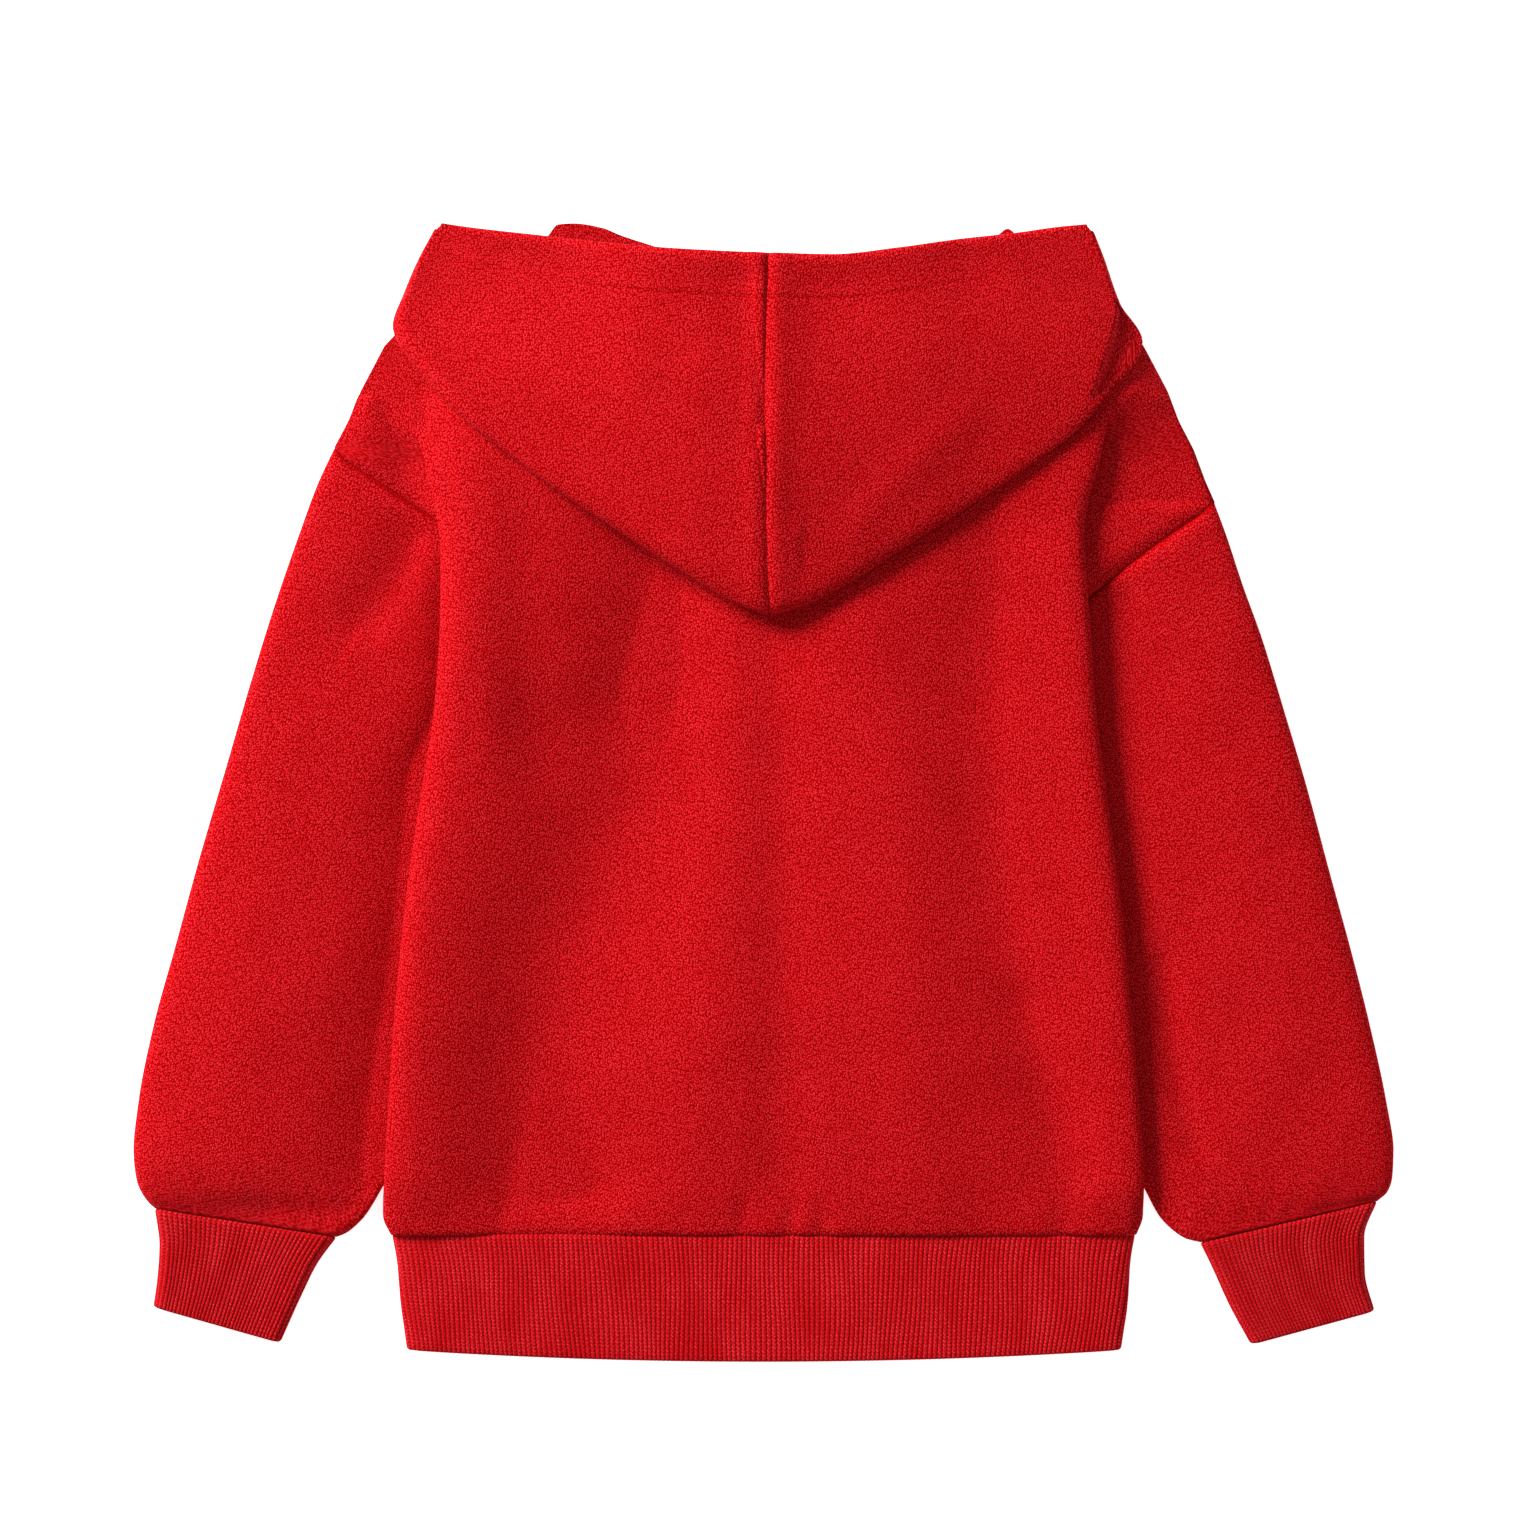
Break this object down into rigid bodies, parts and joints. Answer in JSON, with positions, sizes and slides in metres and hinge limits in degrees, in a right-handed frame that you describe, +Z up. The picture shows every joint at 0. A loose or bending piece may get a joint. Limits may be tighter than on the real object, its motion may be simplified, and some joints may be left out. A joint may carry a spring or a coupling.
{
  "type": "kids hoodie",
  "caption": "Child's plain red pullover hoodie laid flat, face down, its hood folded over the back, with balloon sleeves gathered into rib cuffs and a rib hem.",
  "frame": {"origin": "centre of the bounding box, on the surface the garment lies on", "axes": "+Z up from that surface, out of the garment's back; +Y towards the neck; +X towards the wearer's right sleeve"},
  "size_m": [0.5686, 0.5144, 0.0295],
  "materials": {
    "fleece": "matt knitted sweatshirt fleece",
    "rib": "matt rib knit, folded double"
  },
  "bodies": {
    "root": {"back_panel": "fleece", "front_panel": "fleece", "sleeve_left": "fleece", "sleeve_right": "fleece", "cuff_left": "rib", "cuff_right": "rib", "hem_rib": "rib", "hood_left": "fleece", "hood_right": "fleece"}
  },
  "joints": []
}
